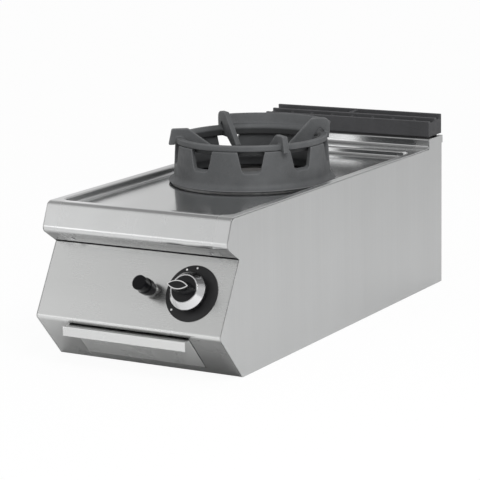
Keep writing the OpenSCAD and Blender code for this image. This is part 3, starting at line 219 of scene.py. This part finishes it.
class Material(Nodes):
    """A material's node tree, which ends in its Principled BSDF."""

    def __init__(self, name):
        self.mat = bpy.data.materials.new(name)
        self.mat.use_nodes = True
        super().__init__(self.mat.node_tree)

    def edge(self, radius):
        node = self.add("ShaderNodeBevel", samples=EDGE_SAMPLES)
        self.feed(node.inputs["Radius"], radius)
        return node.outputs["Normal"]

    def bump(self, height, normal, distance, strength):
        node = self.add("ShaderNodeBump")
        self.feed(node.inputs["Distance"], distance)
        self.feed(node.inputs["Strength"], strength)
        self.feed(node.inputs["Height"], height)
        self.feed(node.inputs["Normal"], normal)
        return node.outputs["Normal"]

    def finish(self, colour, rough, normal, **sockets):
        inputs = self.tree.nodes["Principled BSDF"].inputs
        self.feed(inputs["Base Color"], colour)
        self.feed(inputs["Roughness"], rough)
        self.feed(inputs["Normal"], normal)
        for name, value in sockets.items():
            self.feed(inputs[name.replace("_", " ")], value)
        return self.mat


def shaded(base, factor):
    return tuple(v * factor for v in base)


def drawn_out(grain, along, across):
    """Noise scale that draws the marks out along the grain's axis."""
    return tuple(along if axis == grain else across for axis in "xyz")


# Painted shade and wear: factors on a colour, and an addition to a roughness
def by_axis(n, axis, span, first=0.0, last=1.0):
    return n.rescale(n.split(n.place())[axis], span, first, last)


def by_distance(n, span, first, last):
    """As by_axis, over the distance from the burner's upright axis."""
    flat = n.place(Location=(0.0, -BURNER_Y, 0.0), Scale=(1.0, 1.0, 0.0))
    return n.rescale(n.length(flat), span, first, last)


def ring_painted_shade(n):
    """Painted shade on the inside of the wok ring, deepest low down."""
    inside = by_distance(n, RING_WALL_R, RING_SHADE, 1.0)
    return n.mix(by_axis(n, "Z", RING_SHADE_Z, 0.0, RING_TOP_UNSHADED), inside, UNSHADED)


def trivet_painted_shade(n):
    """Painted shade on the trivet's spigot, inside the wok ring."""
    inner = by_distance(n, SPIGOT_INNER_R, 1.0, RING_SHADE)
    outer = by_distance(n, SPIGOT_OUTER_R, RING_SHADE, 1.0)
    return n.mix(by_axis(n, "Z", SPIGOT_Z), n.mix(1.0, inner, outer, "LIGHTEN"), UNSHADED)


def collar_painted_shade(n):
    """Painted shade on the inside of the collar."""
    return by_distance(n, COLLAR_R, COLLAR_SHADE, 1.0)


def worktop_painted_shade(n):
    """Painted shade on the face under the worktop's front edge, darker towards the right, and
    inside the collar.
    """
    side = n.ramp(by_axis(n, "X", BODY_X), CHAMFER_SHADE)
    film = n.mix(by_axis(n, "Z", CHAMFER_Z), side, UNSHADED)
    return n.times(film, by_distance(n, OPENING_R, OPENING_SHADE, 1.0))


def worktop_wear(n):
    """Roughness that wiping adds to the worktop's front and to the walls at its sides."""
    left = by_axis(n, "X", LEFT_WALL_X, WALL_WEAR, 0.0)
    right = by_axis(n, "X", RIGHT_WALL_X, 0.0, WALL_WEAR)
    front = by_axis(n, "Y", FASCIA_Y, FASCIA_WEAR, 0.0)
    return n.calc("MAXIMUM", front, n.calc("ADD", left, right))


def foot_painted_shade(n):
    """Painted shade on the face below the nose, more towards the right."""
    side = n.ramp(by_axis(n, "X", BODY_X), FOOT_SHADE)
    return n.mix(by_axis(n, "Z", FOOT_Z), side, UNSHADED)


def tray_painted_shade(n):
    """Painted shade on the tray's slope behind its lip, more towards the right."""
    side = n.ramp(by_axis(n, "X", TRAY_X), TRAY_SHADE)
    return n.mix(by_axis(n, "Y", TRAY_LIP_Y), UNSHADED, side)


# The knob's own axes, and the painted highlight on its grip
def knob_space(n):
    """Place in the knob's own axes: along its grip, across it, and out along its shaft."""
    return n.place("TEXTURE", Location=KNOB_AT, Rotation=(math.pi / 2 - PANEL_TILT, 0.0, 0.0))


def grip_highlight(n):
    """Mask of the painted highlight: a pointed oval line round the edge of the grip's end,
    between two pairs of arcs.
    """
    half_l, half_w = GRIP_LENGTH / 2, GRIP_WIDTH / 2
    radius = (half_l * half_l + half_w * half_w) / (2 * half_w)
    at = n.split(knob_space(n))
    flat = n.add("ShaderNodeCombineXYZ")
    n.feed(flat.inputs["X"], at["X"])
    n.feed(flat.inputs["Y"], n.calc("ADD", n.calc("ABSOLUTE", at["Y"]), radius - half_w))
    line = n.calc("GREATER_THAN", n.length(flat.outputs[0]), radius - HIGHLIGHT_WIDTH)
    end = n.calc("GREATER_THAN", at["Z"], GRIP_TOP - HIGHLIGHT_DEPTH)
    return n.calc("MULTIPLY", line, end)


# Materials
def brushed(name, base, rough, grain, mottle=0.04, scratch=0.00002, shade=None, wear=None):
    """Brushed sheet: fine grain lines along one axis, slow bands across them, smudged gloss."""
    n = Material(name)
    fine = n.place(Scale=drawn_out(grain, along=2.0, across=900.0))
    wide = n.place(Scale=drawn_out(grain, along=0.4, across=14.0))
    lines = n.noise(scale=1.0, detail=4.0, rough=0.65, vector=fine)
    bands = n.noise(scale=1.0, detail=2.0, rough=0.5, vector=wide)
    smudge = n.noise(scale=9.0, detail=3.0, rough=0.6)
    grainy = n.tones(lines, shaded(base, 1 - mottle), shaded(base, 1 + mottle))
    colour = n.times(grainy, n.tones(bands, 0.96, 1.0))
    if shade is not None:
        colour = n.times(colour, shade(n))
    gloss = n.calc("ADD", n.spread(lines, rough * 0.96, rough * 1.04),
                   n.spread(smudge, -0.02, 0.03))
    if wear is not None:
        gloss = n.calc("ADD", gloss, wear(n))
    normal = n.bump(lines, n.edge(SHEET_EDGE), distance=scratch, strength=0.6)
    return n.finish(colour, gloss, normal, Metallic=1.0)


def cast(name, base, shade=None):
    """Sand-cast iron: pitted grain, soft edges worn paler, and darker patches of soot."""
    n = Material(name)
    grit = n.noise(scale=420.0, detail=6.0, rough=0.7)
    lumps = n.noise(scale=60.0, detail=4.0, rough=0.55)
    patches = n.noise(scale=11.0, detail=3.0, rough=0.6)
    corners = n.add("ShaderNodeNewGeometry").outputs["Pointiness"]
    colour = n.tones(patches, shaded(base, 0.78), shaded(base, 1.22))
    colour = n.mix(n.ramp(grit, [(0.35, 0.0), (0.75, 0.35)]), colour, shaded(base, 1.6))
    colour = n.mix(n.ramp(corners, [(0.52, 0.0), (0.60, 0.5)]), colour, WORN_IRON)
    if shade is not None:
        colour = n.times(colour, shade(n))
    lumpy = n.bump(lumps, n.edge(CAST_EDGE), distance=0.0009, strength=0.5)
    normal = n.bump(grit, lumpy, distance=0.0005, strength=0.55)
    return n.finish(colour, n.spread(lumps, 0.52, 0.72), normal, Specular_IOR_Level=0.4)


def plastic(name, base, rough, edge=MOULDED_EDGE, shine=0.5, highlight=None):
    """Moulded plastic, print or enamel, faintly smudged, with a pale painted highlight where a
    mask is given.
    """
    n = Material(name)
    grain = n.noise(scale=900.0, detail=3.0, rough=0.6)
    smudge = n.noise(scale=35.0, detail=3.0, rough=0.6)
    colour = n.tones(smudge, shaded(base, 0.9), shaded(base, 1.12))
    if highlight is not None:
        colour = n.mix(highlight(n), colour, HIGHLIGHT_GREY)
    normal = n.bump(grain, n.edge(edge), distance=0.00005, strength=0.5)
    gloss = n.spread(smudge, rough * 0.85, rough * 1.2)
    return n.finish(colour, gloss, normal, Specular_IOR_Level=shine)


def metal(name, base, rough, tint=None, shade=None):
    """Machined or drawn metal with faint tool marks and a little tarnish."""
    n = Material(name)
    marks = n.noise(scale=700.0, detail=3.0, rough=0.6)
    tarnish = n.noise(scale=28.0, detail=4.0, rough=0.6)
    colour = n.ramp(tarnish, [(0.32, tint or shaded(base, 0.72)), (0.6, base)])
    if shade is not None:
        colour = n.times(colour, shade(n))
    normal = n.bump(marks, n.edge(METAL_EDGE), distance=0.00004, strength=0.5)
    gloss = n.spread(tarnish, rough * 1.3, rough * 0.85)
    return n.finish(colour, gloss, normal, Metallic=1.0)


def turned(name, base, rough):
    """Turned metal: rings round the knob's own axis."""
    n = Material(name)
    flat = n.add("ShaderNodeVectorMath", operation="MULTIPLY")
    n.feed(flat.inputs[0], knob_space(n))
    n.feed(flat.inputs[1], (1.0, 1.0, 0.0))
    rings = n.add("ShaderNodeTexNoise", noise_dimensions="1D")
    n.feed(rings.inputs["Scale"], 3500.0)
    n.feed(rings.inputs["Detail"], 3.0)
    n.feed(rings.inputs["W"], n.length(flat.outputs["Vector"]))
    marks = rings.outputs["Fac"]
    colour = n.tones(marks, shaded(base, 0.85), base)
    normal = n.bump(marks, n.edge(METAL_EDGE), distance=0.000008, strength=0.6)
    return n.finish(colour, n.spread(marks, rough * 0.8, rough * 1.2), normal, Metallic=1.0)


def dress(material, *names):
    for name in names:
        slots = cad[name].data.materials
        slots.clear()
        slots.append(material)


def dress_sheets():
    front = {"base": (0.72, 0.725, 0.72), "rough": 0.26, "grain": "x",
             "mottle": 0.006, "scratch": 0.0000006}
    dress(brushed("side_steel", (0.56, 0.565, 0.565), rough=0.34, grain="z"),
          "side_panel_left", "side_panel_right", "rear_panel")
    dress(brushed("front_steel", shade=foot_painted_shade, **front), "control_panel")
    dress(brushed("tray_steel", shade=tray_painted_shade, **front), "tray_front")
    dress(brushed("top_steel", (0.70, 0.705, 0.705), rough=0.15, grain="y", mottle=0.015,
                  scratch=0.000003, shade=worktop_painted_shade, wear=worktop_wear),
          "worktop")
    dress(brushed("plain_steel", (0.45, 0.455, 0.46), rough=0.38, grain="x"),
          "base_panel", "front_rail", "burner_bridge", "heat_shield", "flue_duct",
          "injector_bracket", "pilot_bracket", "tray_pan", "tray_runner_left",
          "tray_runner_right", "air_shutter")
    # The collar: steel darkened as painted shade, with more painted shade inside it
    dress(metal("collar_steel", SHADE_DARKENED_STEEL, rough=0.34, shade=collar_painted_shade), "ring_collar")


def dress_castings():
    dress(cast("ring_iron", RING_IRON, ring_painted_shade), "wok_ring")
    dress(cast("trivet_iron", RING_IRON, trivet_painted_shade), "wok_trivet")
    dress(cast("grate_iron", (0.050, 0.050, 0.053)), "flue_grate")
    dress(cast("burner_iron", (0.07, 0.068, 0.066)),
          "burner_body", "burner_head", "burner_cap", "mixing_tube")


def dress_works():
    dress(metal("brass", (0.72, 0.55, 0.26), rough=0.3),
          "injector", "pilot_burner", "gas_valve", "gas_inlet", "inlet_nut")
    dress(metal("copper", (0.72, 0.42, 0.28), rough=0.3, tint=(0.36, 0.22, 0.16)),
          "pilot_tube", "thermocouple", "gas_manifold", "supply_pipe")
    dress(metal("fastener", (0.72, 0.72, 0.73), rough=0.22),
          "fascia_screws", "rear_screws", "valve_screws", "valve_stem", "thrust_pin",
          "knob_spring", "igniter_spring")
    # The igniter's nut: steel darkened as painted shade
    dress(metal("shade_darkened_nut", SHADE_DARKENED_STEEL, rough=0.35), "igniter_nut")
    dress(turned("knob_metal", (0.80, 0.80, 0.81), rough=0.20), "knob_ring")


def dress_plastics():
    dress(plastic("sooty_enamel", (0.018, 0.018, 0.017), rough=0.6, shine=0.2), "burner_bowl")
    dress(plastic("black_enamel", (0.012, 0.012, 0.013), rough=0.45), "flue_frame")
    dress(plastic("ceramic", (0.82, 0.80, 0.75), rough=0.25), "ignition_electrode")
    dress(plastic("black_plastic", (0.004, 0.004, 0.005), rough=0.22, edge=GRIP_EDGE, shine=0.14),
          "igniter_button", "igniter_bezel")
    dress(plastic("knob_plastic", (0.007, 0.007, 0.008), rough=0.28, edge=GRIP_EDGE, shine=0.28,
                  highlight=grip_highlight),
          "knob")
    dress(plastic("dial_black", (0.019, 0.019, 0.020), rough=0.40, shine=0.28), "dial_plate")
    dress(plastic("white_print", (0.80, 0.80, 0.80), rough=0.5, edge=PRINT_EDGE), "dial_marks")
    dress(plastic("igniter_white", (0.72, 0.72, 0.70), rough=0.4), "igniter_body")


def soften(name, voxel, passes):
    """Rounded casting: weld, voxel remesh and smoothing of a CAD node, in modifiers."""
    modifiers = cad[name].modifiers
    modifiers.new("weld", "WELD").merge_threshold = WELD
    remesh = modifiers.new("remesh", "REMESH")
    remesh.mode = "VOXEL"
    remesh.voxel_size = voxel
    remesh.use_smooth_shade = True
    smooth = modifiers.new("smooth", "SMOOTH")
    smooth.factor = 0.5
    smooth.iterations = passes


def add_world():
    """White backdrop for the camera, and a pale room with a dark ceiling for light and metal."""
    world = bpy.data.worlds.new("studio")
    scene.world = world
    world.use_nodes = True
    world.node_tree.nodes.clear()
    n = Nodes(world.node_tree)

    def by_direction(part, stops):
        """Grey by one part of a direction, which runs from -1 to 1."""
        lifted = n.calc("MULTIPLY_ADD", part, 0.5, 0.5)
        return n.ramp(lifted, [(position / 2 + 0.5, grey) for position, grey in stops])

    def background(colour, strength=1.0):
        node = n.add("ShaderNodeBackground")
        n.feed(node.inputs["Color"], colour)
        n.feed(node.inputs["Strength"], strength)
        return node.outputs[0]

    part = n.split(n.add("ShaderNodeTexCoord").outputs["Generated"])
    room = background(by_direction(part["Z"], ROOM_BY_HEIGHT), ROOM)
    shown = background(n.times(by_direction(part["Z"], SHOWN_BY_HEIGHT),
                               by_direction(part["X"], SHOWN_BY_SIDE)))
    path = n.add("ShaderNodeLightPath").outputs
    lit = n.blend_shaders(path["Is Glossy Ray"], room, shown)
    seen = n.calc("MAXIMUM", path["Is Camera Ray"], path["Is Transmission Ray"])
    out = n.add("ShaderNodeOutputWorld")
    n.feed(out.inputs["Surface"], n.blend_shaders(seen, lit, background(WHITE)))


def add_light(name, at, aim, size, power):
    data = bpy.data.lights.new(name, "AREA")
    data.shape = "RECTANGLE"
    data.size, data.size_y = size
    data.energy = power
    light = bpy.data.objects.new(name, data)
    light.location = at
    light.rotation_euler = (Vector(aim) - Vector(at)).to_track_quat("-Z", "Y").to_euler()
    scene.collection.objects.link(light)


def add_floor():
    """Pale floor that the camera sees as almost white, with the object's shadow."""
    mesh = bpy.data.meshes.new("floor")
    r = FLOOR_HALF
    mesh.from_pydata([(-r, -r, 0), (r, -r, 0), (r, r, 0), (-r, r, 0)], [], [(0, 1, 2, 3)])
    floor = bpy.data.objects.new("floor", mesh)
    floor.location.z = -FLOOR_DROP
    scene.collection.objects.link(floor)
    n = Material("floor_white")
    matt = n.add("ShaderNodeBsdfDiffuse")
    n.feed(matt.inputs["Color"], FLOOR_GREY)
    glow = n.add("ShaderNodeEmission")
    n.feed(glow.inputs["Color"], WHITE)
    seen = n.add("ShaderNodeLightPath").outputs["Is Camera Ray"]
    share = n.calc("MULTIPLY", seen, FLOOR_WHITE)
    both = n.blend_shaders(share, matt.outputs[0], glow.outputs[0])
    n.feed(n.tree.nodes["Material Output"].inputs["Surface"], both)
    mesh.materials.append(n.mat)


add_camera()
scene.view_settings.view_transform = "Standard"
add_world()
add_floor()
add_light("key", at=(1.5, -1.2, 2.2), aim=(0, 0, 0.2), size=(1.2, 1.2), power=31)
add_light("low_strip", at=(-1.95, -2.9, 0.85), aim=(0, -0.45, 0.2), size=(1.6, 0.6), power=3.4)
dress_sheets()
dress_castings()
dress_works()
dress_plastics()
soften("wok_ring", RING_VOXEL, RING_PASSES)
soften("wok_trivet", RING_VOXEL, RING_PASSES)
soften("flue_grate", GRATE_VOXEL, GRATE_PASSES)
